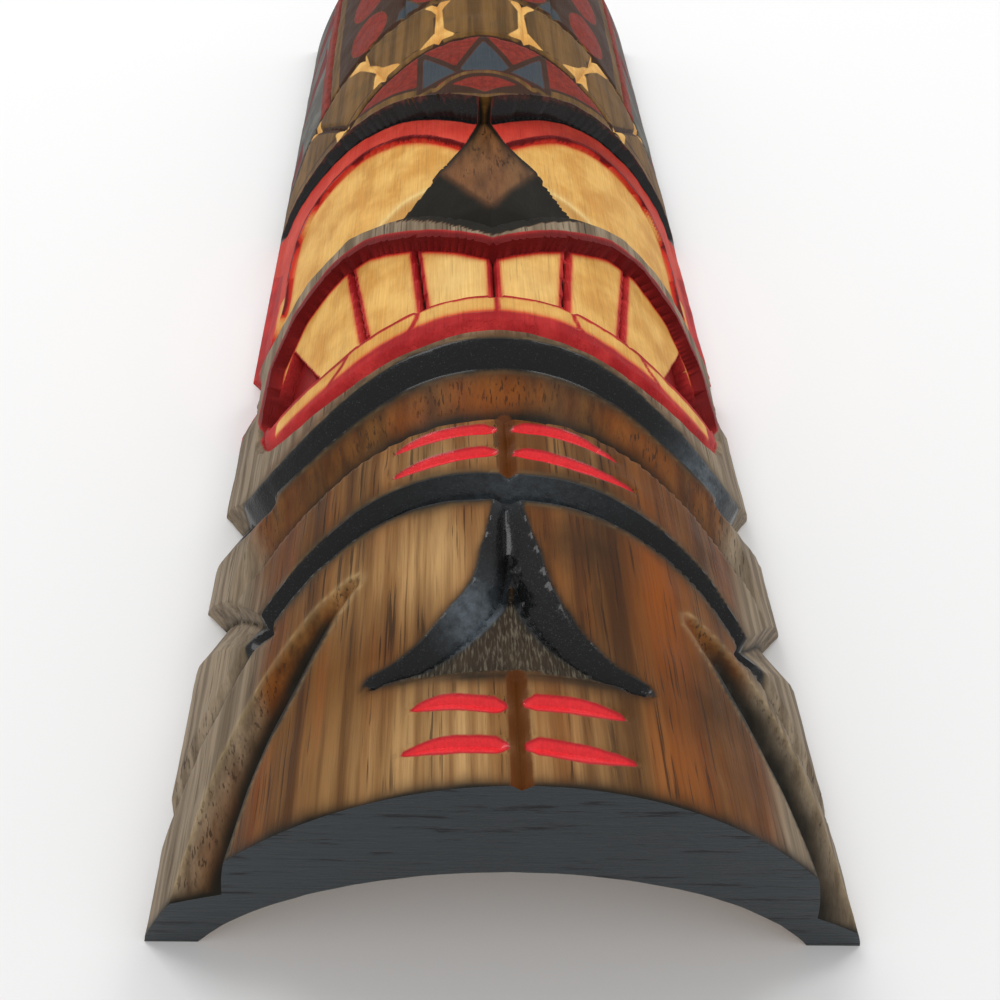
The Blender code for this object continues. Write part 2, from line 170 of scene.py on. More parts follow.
# The eyes, between the upper lip and the brow
EYE_FLOOR_EDGE = [(-0.54, 1.145), (-0.49, 1.135), (-0.44, 1.145)]
EYE_FLOOR_EDGE += [(-0.36, 1.205), (-0.27, 1.222), (-0.15, 1.175)]
GUM_BOW = (0, 1.09)
BROW_EDGE = [(0, 1.585), (-0.1, 1.632), (-0.2, 1.685), (-0.3, 1.722), (-0.4, 1.738), (-0.54, 1.735)]
EYELID_EDGE = [(-0.02, 1.47), (-0.1, 1.53), (-0.2, 1.6), (-0.3, 1.635)]
EYELID_EDGE += [(-0.4, 1.625), (-0.445, 1.55), (-0.45, 1.3)]
EYEBALL_MARGIN = 0.012
LID_FROM = 1.36
NOSE_ROOT = (0, 1.61, -0.065)
NOSE_SHOULDER = (-0.1, 1.34, -0.018)
NOSE_TIP = (0, 1.165, -0.001)
NOSE_WING = (-0.225, 1.25, -0.06)
NOSE_BASE = (0, 1.085, -0.03)

# The headdress: two arches and what divides the plates, the petals and the sides
FIELD_ARCH = [(0, 1.9), (-0.1, 1.882), (-0.2, 1.835), (-0.27, 1.785), (-0.31, 1.735)]
BAND_ARCH = [(0, 2.15), (-0.12, 2.14), (-0.22, 2.115), (-0.3, 2.085)]
BAND_ARCH += [(-0.37, 2.045), (-0.44, 1.985), (-0.49, 1.87)]
PLATE_GAPS = [
    [(-0.102, 1.885), (-0.108, 2.13)],
    [(-0.225, 1.83), (-0.295, 2.08)],
    [(-0.315, 1.75), (-0.42, 1.99)],
]
SIDE_BORDER = [(-0.385, 2.03), (-0.4, 2.3), (-0.405, 2.6), (-0.405, 2.88)]
PETAL_GAPS = [[(-0.035, 2.16), (-0.04, 2.88)], [(-0.19, 2.13), (-0.215, 2.88)]]
RIM_WIDTH = 0.028
CENTRE_RAY = [(-0.068, 1.712), (0.003, 1.89), (0.078, 1.712)]
SIDE_RAY = [(-0.142, 1.668), (-0.142, 1.855), (-0.05, 1.715)]
LENS = [(-0.072, 1.662), (-0.035, 1.682), (0, 1.688), (0.035, 1.682)]
LENS += [(0.072, 1.662), (0.03, 1.635), (0, 1.612), (-0.03, 1.635)]
LENS_ARCH = [(-0.108, 1.655), (-0.06, 1.698), (0, 1.71), (0.06, 1.698), (0.108, 1.655)]
GAP_MARKS = [
    [(-0.138, 2.118), (-0.074, 2.12), (-0.094, 2.07), (-0.09, 1.96)]
    + [(-0.062, 1.915), (-0.145, 1.885), (-0.11, 1.95), (-0.108, 2.07)],
    [(-0.33, 2.045), (-0.285, 2.075), (-0.278, 2.01), (-0.236, 1.915)]
    + [(-0.19, 1.872), (-0.252, 1.828), (-0.252, 1.92), (-0.295, 2.01)],
    [(-0.43, 1.975), (-0.405, 2.01), (-0.402, 1.94)],
    [(-0.31, 1.755), (-0.345, 1.785), (-0.335, 1.725)],
]
PETAL_COLUMNS = [(0, 0.03), (-0.112, 0.07), (-0.283, 0.066)]
WEDGE = [(-0.212, 2.135), (-0.148, 2.15), (-0.19, 2.24)]
EAR = [(-0.508, 0.96), (-0.472, 1.0), (-0.462, 1.08), (-0.466, 1.16)]
EAR += [(-0.468, 1.3), (-0.472, 1.5), (-0.508, 1.6)]
SPIKES = [
    [(-0.46, 1.98), (-0.515, 1.9), (-0.47, 2.12)],
    [(-0.425, 2.42), (-0.5, 2.2), (-0.435, 2.56)],
    [(-0.425, 2.7), (-0.505, 2.46), (-0.435, 2.84)],
]

FAR = 30.0
PAINTS = ("black", "smoke", "amber", "olive", "pale", "salmon", "blue", "yellow", "crimson", "oxblood")
PAINTS += ("outline", "stroke")
# Soft tones over the wood and paint. Besides wood tones, scorching and airbrushing, they hold painted light:
# painted shade in creases, recesses and the eyes' hollows, and painted sheen and highlights.
SHADES = ("grey", "scorch_and_shade", "light", "orange", "blush", "dark_paint_and_shade", "eye_hollow_shade", "painted_highlight", "worn")


def section_table():
    """The log's outline across, left to right: x and z in metres, and the way round it in millimetres."""
    turn = np.linspace(-math.pi / 2, math.pi / 2, 2401)
    x = HALF * np.sin(turn)
    z = CROWN * np.clip(np.cos(turn), 0, 1) ** (2 * SECTION_POWER)
    way = np.concatenate([[0], np.cumsum(np.hypot(np.diff(x), np.diff(z)))]) * MM
    return x, z, way - way[-1] / 2


TABLE_X, TABLE_Z, TABLE_WAY = section_table()
TABLE_TILT = np.unwrap(np.arctan2(np.gradient(TABLE_Z), np.gradient(TABLE_X)))
REACH = TABLE_WAY[-1]


def unroll(points):
    """Layout points in millimetres across and along the unrolled log. Past the feet they run on outwards."""
    points = np.array([point[:2] for point in points], float)
    x = points[:, 0] * WIDTH
    way = np.interp(x, TABLE_X, TABLE_WAY)
    way += np.sign(x) * np.clip(np.abs(x) - HALF, 0, None) * MM * math.sqrt(5)
    return np.stack([way, points[:, 1] * LENGTH * MM / LAYOUT_LENGTH], 1)


def mirrored(points):
    return [(-across, *rest) for across, *rest in points]


def both_halves(half):
    """A line drawn from the middle to the left, carried on to the right."""
    return half[::-1] + mirrored(half)[1:]


def smooth_path(points, steps, closed=False):
    """Points on a Catmull-Rom curve through the given ones, with this many between each pair."""
    points = np.array([point[:2] for point in points], float)
    if closed:
        line = np.concatenate([points[-1:], points, points[:2]])
    else:
        line = np.concatenate([2 * points[:1] - points[1:2], points, 2 * points[-1:] - points[-2:-1]])
    found = []
    for a, b, c, d in zip(line, line[1:], line[2:], line[3:]):
        for t in np.arange(steps) / steps:
            bend = (2 * a - 5 * b + 4 * c - d) * t + (3 * b - 3 * c + d - a) * t * t
            found.append(b + (c - a + bend) * t / 2)
    return found if closed else found + [line[-2]]


def curve(points, steps):
    return unroll(smooth_path(points, steps))


def wobble(across, along, size, seed):
    """Smooth unevenness between -1 and 1, with humps about size millimetres apart."""
    rng = np.random.default_rng(seed)
    total = np.zeros(len(across))
    for octave in range(3):
        turns = rng.uniform(0, 2 * math.pi, 4)
        for turn, phase in zip(turns, rng.uniform(0, 2 * math.pi, 4)):
            wave = 2 * math.pi / (size * 0.62**octave)
            total += 0.6**octave * np.sin(wave * (across * math.cos(turn) + along * math.sin(turn)) + phase)
    return total / 5


class Sheet:
    """The log's unrolled front as points, in millimetres across and along.

    While it is being marked, cuts only pull the nearest points onto their edges, so that they come out crisp.
    Then they sink the points, and paint is laid: each paint holds how far inside its area a point lies.
    """

    def __init__(self, across, along, cell):
        self.across, self.along, self.cell = across, along, cell
        self.free = np.ones(len(across), bool)
        self.loose_across = np.abs(across) < REACH - 1e-6
        self.loose_along = (along > 1e-6) & (along < LENGTH * MM - 1e-6)
        self.marking = True

    def start_cutting(self):
        self.marking = False
        self.depth = np.zeros(len(self.across))
        self.paint = {name: np.full(len(self.across), -FAR) for name in PAINTS}
        self.shade = {name: np.zeros(len(self.across)) for name in SHADES}
        self.x = np.interp(self.across, TABLE_WAY, TABLE_X)
        self.z = np.interp(self.across, TABLE_WAY, TABLE_Z)
        self.tilt = np.interp(self.across, TABLE_WAY, TABLE_TILT)

    def near(self, line, reach):
        """For points within reach of a line: which, how far to its left, the share along it, the way off."""
        low, high = line.min(0) - reach, line.max(0) + reach
        inside = (self.across > low[0]) & (self.across < high[0])
        picked = np.flatnonzero(inside & (self.along > low[1]) & (self.along < high[1]))
        place = np.stack([self.across[picked], self.along[picked]], 1)
        best = np.full(len(picked), np.inf)
        off = np.zeros(len(picked))
        share = np.zeros(len(picked))
        way = np.zeros((len(picked), 2))
        for k, (start, end) in enumerate(zip(line, line[1:])):
            run = end - start
            if run @ run == 0:
                continue
            t = np.clip((place - start) @ run / (run @ run), 0, 1)
            gap = place - start - t[:, None] * run
            distance = np.hypot(gap[:, 0], gap[:, 1])
            closer = distance < best
            side = np.where(run[0] * gap[:, 1] - run[1] * gap[:, 0] < 0, -1, 1)
            best = np.where(closer, distance, best)
            off = np.where(closer, distance * side, off)
            share = np.where(closer, (k + t) / (len(line) - 1), share)
            unit = gap * (side / np.maximum(distance, 1e-9))[:, None]
            way = np.where(closer[:, None], unit, way)
        kept = best < reach
        return picked[kept], off[kept], share[kept], way[kept]

    def within(self, points, steps=1):
        """How far inside a closed outline each point lies, in millimetres: less than nothing outside it."""
        outline = unroll(smooth_path(points, steps, closed=True) if steps > 1 else points)
        outline = np.concatenate([outline, outline[:1]])
        which, off, _, way = self.near(outline, 10 * UNIT)
        a, b = outline[:-1], outline[1:]
        odd = np.zeros(len(which), bool)
        across, along = self.across[which], self.along[which]
        for (x0, y0), (x1, y1) in zip(a, b):
            if y0 == y1:
                continue
            spans = (y0 > along) != (y1 > along)
            odd ^= spans & (across < (x1 - x0) * (along - y0) / (y1 - y0) + x0)
        deep = np.full(len(self.across), -FAR)
        deep[which] = np.where(odd, 1, -1) * np.abs(off)
        ways = np.zeros((len(self.across), 2))
        ways[which] = way * np.where(np.sign(off) == np.where(odd, 1, -1), 1, -1)[:, None]
        return deep, ways

    def pull(self, which, off, way):
        """Moves points close to an edge onto it. off is how far past it they are, way points out from it."""
        close = (np.abs(off) < SNAP * self.cell[which]) & self.free[which]
        moved = which[close]
        self.across[moved] -= (off[close] * way[close, 0]) * self.loose_across[moved]
        self.along[moved] -= (off[close] * way[close, 1]) * self.loose_along[moved]
        self.free[moved] = False

    def profile(self, points, faces, taper=(1, 1), steps=8):
        """For points near a V cut: which, how far from its bottom, which way, its size, its faces' ends."""
        which, off, share, way = self.near(curve(points, steps), max(faces) * UNIT + 6)
        size = np.interp(share, np.linspace(0, 1, len(taper)), taper)
        return which, off, way, size, faces[0] * UNIT * size, faces[1] * UNIT * size

    def groove(self, points, depth, faces, taper=(1, 1), steps=8, paint=None, worn=0.0):
        """A V cut along a line that runs from left to right, or down. taper is what it keeps of its size."""
        which, off, way, size, low, high = self.profile(points, faces, taper, steps)
        if self.marking:
            self.pull(which, off, way)
            for past, face in ((off - high, high), (off + low, low)):
                wide = face > WIDE_FACE
                self.pull(which[wide], past[wide], way[wide])
            return
        past = np.where(off > 0, off - high, -off - low)
        cut = depth * size * np.clip(-past / np.where(off > 0, high, low), 0, None)
        self.depth[which] = np.maximum(self.depth[which], cut)
        if paint:
            self.lay(paint, 0.35 - past, which)
        if worn:
            edge = worn * np.exp(-np.abs(past - 0.5) / 0.45)
            self.tint("worn", edge, which)

    def recess(self, points, depth, side_depth):
        """An area sunk to a slimmer log's surface, with upright walls."""
        inside, way = self.within(points)
        if self.marking:
            self.pull(np.arange(len(inside)), inside, way)
            return
        out = np.clip(1 - (self.x / (HALF - side_depth / MM)) ** 2, 0, 1)
        floor = (self.z - (CROWN - depth / MM) * out**SECTION_POWER) * np.cos(self.tilt) * MM
        self.depth = np.where(inside > 0.25, np.maximum(self.depth, floor), self.depth)

    def lay(self, name, inside, which=slice(None)):
        self.paint[name][which] = np.maximum(self.paint[name][which], inside)

    def tint(self, name, amount, which=slice(None)):
        self.shade[name][which] = np.maximum(self.shade[name][which], amount)

    def cover(self, name, inside, which=slice(None)):
        """Lays a paint over the ones that would otherwise show through it."""
        for other in PAINTS[PAINTS.index(name) + 1:]:
            self.paint[other][which] = np.minimum(self.paint[other][which], -inside)
        self.lay(name, inside, which)

    def lay_line(self, name, points, half_width, steps=8, low=None):
        """Paint along a line, half_width to each side in millimetres, or low towards the chin instead."""
        which, off, _, _ = self.near(curve(points, steps), FAR)
        if low is None:
            self.lay(name, half_width - np.abs(off), which)
        else:
            self.lay(name, np.minimum(half_width - off, off + low), which)

    def smoke(self, name, points, start, fade, strength, side=0, steps=8):
        """Airbrushed shade, and painted shade in creases, that fades out from a line, to both sides or towards
        the top (1) or chin (-1).
        """
        which, off, _, _ = self.near(curve(points, steps), start + 5 * fade)
        away = np.abs(off) if side == 0 else np.where(off * side > 0, np.abs(off), FAR)
        amount = strength * np.exp(-np.clip(away - start, 0, None) / fade)
        self.tint(name, amount, which)

    def cloud(self, name, place, size, strength):
        """A soft round patch of shade."""
        centre = unroll([place])[0]
        aside = (self.across - centre[0]) / (size[0] * UNIT)
        ahead = (self.along - centre[1]) / (size[1] * UNIT)
        self.tint(name, strength * np.exp(-(aside**2 + ahead**2)))


def chin_line():
    return CHIN_GROOVE[::-1] + CHIN_GROOVE_RIGHT


def carve_tiers(sheet):
    """The grooves that part the chin, the middle tier and the mouth, and the notches of the side lobes."""
    for line, faces, worn in (
        (chin_line(), CHIN_GROOVE_FACES, 0.5),
        (both_halves(MOUTH_GROOVE), MOUTH_GROOVE_FACES, 0.7),
    ):
        sheet.groove(line, TIER_GROOVE_DEPTH, faces, paint="black", worn=worn)
    sheet.groove(both_halves(COVE), COVE_DEPTH, COVE_FACES)
    for left, right, depth, faces in (
        (TIER_NOTCH, TIER_NOTCH_RIGHT, NOTCH_DEPTH, TIER_NOTCH_FACES),
        (LIP_NOTCH, mirrored(LIP_NOTCH), NOTCH_DEPTH, LIP_NOTCH_FACES),
        (EAR_NOTCH, mirrored(EAR_NOTCH), NOTCH_DEPTH, EAR_NOTCH_FACES),
        (FLANGE_EDGE, FLANGE_EDGE_RIGHT, FLANGE_DEPTH, FLANGE_FACES),
    ):
        sheet.groove(left[::-1], depth, faces, (1, NOTCH_RUN_OUT))
        sheet.groove(right, depth, faces, (NOTCH_RUN_OUT, 1))


def tongue_outline():
    return smooth_path(CRESCENT_LEFT[:1:-1], 6) + smooth_path(CRESCENT_RIGHT[2:], 6)


def carve_chin(sheet):
    """The chin plate's cuts: long side grooves, crescents round the sunk tongue, posts and strokes."""
    left, right = LONG_GROOVE_LEFT[::-1], LONG_GROOVE_RIGHT
    sheet.groove(left, LONG_GROOVE_DEPTH, LONG_GROOVE_FACES, (1, LONG_GROOVE_RUN_OUT), worn=0.5)
    sheet.groove(right, LONG_GROOVE_DEPTH_RIGHT, LONG_GROOVE_FACES_RIGHT, (LONG_GROOVE_RUN_OUT, 1), worn=0.5)
    sheet.groove(CRESCENT_LEFT[::-1], CRESCENT_DEPTH, CRESCENT_FACES, CRESCENT_SIZES[::-1], paint="black")
    sheet.groove(CRESCENT_RIGHT, CRESCENT_DEPTH, CRESCENT_FACES, CRESCENT_SIZES, paint="black")
    if not sheet.marking:
        inside, _ = sheet.within(tongue_outline())
        fall = TONGUE_DEPTH / (CRESCENT_LEFT[2][1] - TONGUE_BASE) / UNIT
        sunk = fall * (sheet.along - TONGUE_BASE * UNIT)
        sheet.depth = np.where(inside > 0, np.maximum(sheet.depth, sunk), sheet.depth)
    for path in POSTS:
        sheet.groove(path, POST_DEPTH, POST_FACES, steps=1)
    for path in STROKES:
        sheet.groove(path, STROKE_DEPTH, STROKE_FACES, (0.5, 1))


def mouth_outline():
    return both_halves(LOWER_LIP_EDGE) + both_halves([LIP_BOW, *UPPER_LIP_EDGE[::-1]])[::-1]


def eyes_outline():
    return both_halves([*EYE_FLOOR_EDGE, GUM_BOW][::-1]) + both_halves(BROW_EDGE)[::-1]


def eyeball_outline():
    floor = [*EYE_FLOOR_EDGE[1:], GUM_BOW]
    return EYELID_EDGE + [(across, along + EYEBALL_MARGIN) for across, along in floor]


def carve_mouth(sheet):
    """The mouth sunk between the lips, deeper at its corners, and the gaps between its teeth."""
    sheet.recess(mouth_outline(), TEETH_DEPTH, TEETH_DEPTH)
    for corner in (MOUTH_CORNER, mirrored(MOUTH_CORNER)):
        sheet.recess(corner, MOUTH_CORNER_DEPTH, MOUTH_CORNER_DEPTH)
    sheet.groove(both_halves(LIP_LINE), LIP_LINE_DEPTH, LIP_LINE_FACES)
    for gap in TOOTH_GAPS + [mirrored(gap) for gap in TOOTH_GAPS[:-1]]:
        sheet.groove(gap, TEETH_DEPTH + TOOTH_GAP_DEPTH, TOOTH_GAP_FACES, steps=1)


def nose_facets():
    facets = [(NOSE_ROOT, NOSE_SHOULDER, NOSE_TIP), (NOSE_TIP, NOSE_SHOULDER, NOSE_WING)]
    facets.append((NOSE_TIP, NOSE_WING, NOSE_BASE))
    return facets + [mirrored(facet) for facet in facets]


def nose_outline():
    left = [NOSE_ROOT, NOSE_SHOULDER, NOSE_WING, NOSE_BASE]
    return left + mirrored(left)[-2:0:-1]


def carve_eyes(sheet):
    """The eyes sunk round the nose, the eyeballs a step deeper, and the nose's flat facets left standing."""
    inside, way = sheet.within(nose_outline())
    if sheet.marking:
        sheet.pull(np.arange(len(inside)), inside, way)
        for facet in nose_facets():
            for start, end in ((0, 1), (1, 2), (0, 2)):
                which, off, _, way = sheet.near(unroll([facet[start], facet[end]]), 3)
                sheet.pull(which, off, way)
    sheet.recess(eyes_outline(), EYE_DEPTH, EYE_SIDE_DEPTH)
    for outline in (eyeball_outline(), mirrored(eyeball_outline())):
        sheet.recess(outline, EYE_DEPTH + EYELID_STEP, EYE_SIDE_DEPTH + EYELID_STEP)
    if sheet.marking:
        return
    along = (sheet.along / MM) + LOW.y
    for facet in nose_facets():
        corners = np.array([on_log(*corner) for corner in facet])
        (x0, y0, z0), (x1, y1, z1), (x2, y2, z2) = corners
        whole = (x1 - x0) * (y2 - y0) - (x2 - x0) * (y1 - y0)
        b = ((sheet.x - x0) * (y2 - y0) - (x2 - x0) * (along - y0)) / whole
        c = ((x1 - x0) * (along - y0) - (sheet.x - x0) * (y1 - y0)) / whole
        over = (b >= -0.004) & (c >= -0.004) & (b + c <= 1.004)
        depth = (sheet.z - (z0 + b * (z1 - z0) + c * (z2 - z0))) * np.cos(sheet.tilt) * MM
        sheet.depth = np.where(over, np.minimum(sheet.depth, depth), sheet.depth)


def on_log(across, along, lift=0.0):
    x = across * WIDTH
    z = CROWN * max(1 - (x / HALF) ** 2, 0) ** SECTION_POWER
    return x, along * LENGTH / LAYOUT_LENGTH + LOW.y, z + lift * WIDTH


def headdress_lines():
    lines = [both_halves(FIELD_ARCH), both_halves(BAND_ARCH)]
    for half in (*PLATE_GAPS, SIDE_BORDER, *PETAL_GAPS):
        lines += [half, mirrored(half)]
    return lines


def carve_headdress(sheet):
    for line in headdress_lines():
        sheet.groove(line, HEADDRESS_LINE_DEPTH, HEADDRESS_LINE_FACES)


def carve(sheet):
    carve_eyes(sheet)
    carve_mouth(sheet)
    carve_tiers(sheet)
    carve_chin(sheet)
    carve_headdress(sheet)


def paint_chin(sheet):
    """A smoked tongue, amber posts and thick red strokes on scorched wood, with soot round the black cuts, and
    painted shade in the long side grooves and along the cove.
    """
    for line, (low, high), below, above in (
        (chin_line(), CHIN_GROOVE_FACES, 2.6, 3.2),
        (both_halves(MOUTH_GROOVE), MOUTH_GROOVE_FACES, 3.5, 3.0),
    ):
        sheet.smoke("scorch_and_shade", line, low * UNIT + 0.3, below, 0.85, -1)
        sheet.smoke("scorch_and_shade", line, high * UNIT, above, 0.8, 1)
    for line, taper in ((CRESCENT_LEFT[::-1], CRESCENT_SIZES[::-1]), (CRESCENT_RIGHT, CRESCENT_SIZES)):
        which, off, _, size, low, high = sheet.profile(line, CRESCENT_FACES, taper)
        past = np.where(off > 0, off - high, -off - low)
        darkening = 0.8 * np.exp(-np.clip(past, 0, None) / 1.6)
        sheet.tint("scorch_and_shade", darkening, which)
    sheet.lay("smoke", sheet.within(tongue_outline())[0] + 0.2)
    sheet.smoke("scorch_and_shade", [(-0.172, 0.152), (0, 0.14), (0.157, 0.139)], 0.5, 2.2, 0.7)
    # Painted shade: dark on the long grooves' steep walls and fading up their outer slopes, where shadow falls
    # in them.
    for line, faces, taper, reach in (
        (LONG_GROOVE_LEFT[::-1], LONG_GROOVE_FACES, (1, LONG_GROOVE_RUN_OUT), 0.45),
        (LONG_GROOVE_RIGHT, LONG_GROOVE_FACES_RIGHT, (LONG_GROOVE_RUN_OUT, 1), 0.9),
    ):
        which, off, _, size, low, high = sheet.profile(line, faces, taper)
        wall_shade = np.exp(-np.clip(-off - low, 0, None) / 1.3)
        darkening = np.where(off < 0, wall_shade, np.exp(-((off / high / reach) ** 2)))
        darkening *= 0.92 * np.clip(size * 6 - 1.2, 0, 1)
        sheet.tint("scorch_and_shade", darkening, which)
    for path in POSTS:
        sheet.lay_line("amber", path, 2.3, steps=1)
        sheet.smoke("scorch_and_shade", path, 1.5, 1.6, 0.5, steps=1)
    for path in STROKES:
        which, off, share, _ = sheet.near(curve(path, 8), 12)
        half = STROKE_HALF_WIDTH * UNIT * np.clip(share * 2.2, 0, 1) ** 0.5
        half *= np.clip((1.04 - share) * 9, 0, 1) ** 0.5
        sheet.lay("stroke", half - np.abs(off), which)
    # Painted shade in the cove, fading out towards the top and, briefly, towards the chin.
    sheet.smoke("scorch_and_shade", both_halves(COVE), 3, 4.5, 0.85, 1)
    sheet.smoke("scorch_and_shade", both_halves(COVE), 0.3, 1.4, 0.6, -1)


def paint_wood(sheet):
    """Where the lacquered wood is warm, grey, pale or scorched, darker along the notches, with painted shade
    beside the flange's step and painted sheen on the black cuts.
    """
    warm = [(0, -0.2), (-0.44, -0.2), (-0.43, 0), (-0.395, 0.1), (-0.345, 0.2), (-0.34, 0.3), (-0.36, 0.42)]
    warm += [(-0.39, 0.56), (-0.42, 0.64), (-0.38, 0.7), (-0.2, 0.76), (0, 0.79), (0.2, 0.76), (0.36, 0.69)]
    warm += [(0.39, 0.64), (0.37, 0.55), (0.35, 0.4), (0.335, 0.28), (0.33, 0.2), (0.33, 0.1)]
    warm += [(0.32, 0), (0.31, -0.2)]
    inside = sheet.within(warm)[0]
    sheet.shade["grey"] = np.clip(0.5 - inside / 9, 0, 1)
    # Darker along the notches.
    for left, right in ((TIER_NOTCH, TIER_NOTCH_RIGHT), (LIP_NOTCH, mirrored(LIP_NOTCH))):
        sheet.smoke("scorch_and_shade", left[::-1], 0, 0.9, 0.8)
        sheet.smoke("scorch_and_shade", right, 0, 0.9, 0.8)
    # Painted shade beside the flange's step.
    sheet.smoke("scorch_and_shade", FLANGE_EDGE[::-1], 0.8, 2.5, 0.95, 1)
    sheet.smoke("scorch_and_shade", FLANGE_EDGE_RIGHT, 0.8, 2.5, 0.95, 1)
    sheet.tint("scorch_and_shade", 0.9 * np.exp(-sheet.along / 2.4))
    sheet.cloud("light", (-0.12, 0.33), (0.11, 0.09), 1)
    sheet.cloud("light", (-0.06, 0.05), (0.17, 0.1), 1)
    # Painted sheen on the black of the left crescent, the right mouth groove and the chin groove.
    sheet.cloud("painted_highlight", (-0.05, 0.235), (0.035, 0.05), 0.8)
    sheet.cloud("painted_highlight", (0.36, 0.665), (0.08, 0.04), 0.8)
    sheet.cloud("painted_highlight", (0.02, 0.45), (0.12, 0.03), 0.3)
    sheet.cloud("scorch_and_shade", (-0.3, 0.58), (0.09, 0.08), 0.45)
    sheet.cloud("light", (-0.1, 0.52), (0.12, 0.06), 0.5)
    sheet.cloud("light", (0.08, 0.53), (0.08, 0.05), 0.3)
    sheet.cloud("orange", (-0.24, 0.12), (0.1, 0.12), 1)
    sheet.cloud("orange", (-0.24, 0.4), (0.1, 0.09), 0.9)
    sheet.cloud("orange", (0.13, 0.06), (0.12, 0.06), 0.8)
    sheet.cloud("orange", (0.2, 0.3), (0.06, 0.15), 0.7)
    sheet.cloud("orange", (0.0, 0.62), (0.3, 0.05), 0.6)
    sheet.cloud("scorch_and_shade", (0.1, 0.36), (0.09, 0.07), 0.45)
    sheet.cloud("scorch_and_shade", (0.26, 0.16), (0.12, 0.14), 0.42)
    sheet.cloud("scorch_and_shade", (0.3, 0.46), (0.09, 0.1), 0.35)


def paint_mouth(sheet):
    """Yellow teeth airbrushed red at their edges, dark red gums, a lip yellow over red, and red corners, with
    painted shade deep in the corners and on the recess's upper wall, and painted highlights on the front teeth.
    """
    teeth = sheet.within(mouth_outline())[0]
    corners = np.full(len(sheet.across), -FAR)
    for corner in (MOUTH_CORNER, mirrored(MOUTH_CORNER)):
        corners = np.maximum(corners, sheet.within(corner)[0])
    low_edge = curve(both_halves(LOWER_LIP_EDGE), 8)
    which, off, _, _ = sheet.near(low_edge, FAR)
    over_lip = np.full(len(sheet.across), FAR)
    over_lip[which] = off
    sheet.lay("yellow", teeth)
    sheet.lay("crimson", np.minimum(np.minimum(teeth + GUM_WIDTH * UNIT, 1.9 - teeth), over_lip - 1.5))
    blush = np.exp(-np.clip(teeth - 1.9, 0, None) / 1.7)
    sheet.tint("blush", blush * (teeth > 0))
    for gap in TOOTH_GAPS + [mirrored(gap) for gap in TOOTH_GAPS[:-1]]:
        which, off, _, _ = sheet.near(curve(gap, 1), 14)
        sheet.lay("crimson", np.minimum(2.1 - np.abs(off), teeth[which] + 3), which)
        sheet.lay("outline", np.minimum(0.3 - np.abs(off), teeth[which]), which)
        sheet.smoke("blush", gap, 1.8, 1.1, 0.9, steps=1)
    lip = both_halves(LOWER_LIP_EDGE) + both_halves(LIP_LINE)[::-1]
    inside = sheet.within(lip, steps=4)[0]
    ends = (np.abs(sheet.across) - 0.47 * UNIT) * 0.7
    sheet.cover("crimson", inside + 0.2)
    sheet.cover("yellow", np.minimum(np.minimum(-over_lip - 1.0, over_lip + LIP_STRIP), -ends))
    lip_shade = np.exp(-np.clip(over_lip + LIP_STRIP, 0, None) / 1.8)
    lip_shade += np.exp(-np.clip(-1.0 - over_lip, 0, None) / 0.5)
    on_lip = (over_lip < -0.8) & (over_lip > -9)
    sheet.shade["blush"] = np.where(on_lip, np.clip(lip_shade, 0, 1) * 0.9, sheet.shade["blush"])
    sheet.cover("crimson", np.minimum(1.2 - np.abs(over_lip + 0.1), 3 + teeth))
    for mark in LIP_MARKS + [mirrored(mark) for mark in LIP_MARKS[:-1]]:
        sheet.lay_line("crimson", mark, 0.75)
        sheet.smoke("blush", mark, 0.4, 0.8, 0.8)
    sheet.cover("crimson", np.minimum(corners + 0.4, over_lip - 0.6))
    # Painted shade: the red corners darken the deeper they are cut.
    deep = np.clip(0.4 + (sheet.depth - 8) / 4, 0, 1)
    sheet.shade["dark_paint_and_shade"] = np.where(corners > -0.5, deep, sheet.shade["dark_paint_and_shade"])
    # Painted shade on the upper wall of the teeth's recess.
    upper = np.clip(1.5 - np.abs(teeth + 0.6) / 2.6, 0, 0.95) * np.clip(over_lip / 2 - 1, 0, 1)
    sheet.tint("dark_paint_and_shade", upper)
    # Painted highlights on the front teeth.
    sheet.cloud("painted_highlight", (-0.07, 0.98), (0.09, 0.1), 0.55)
    sheet.cloud("painted_highlight", (0.07, 0.97), (0.08, 0.08), 0.4)


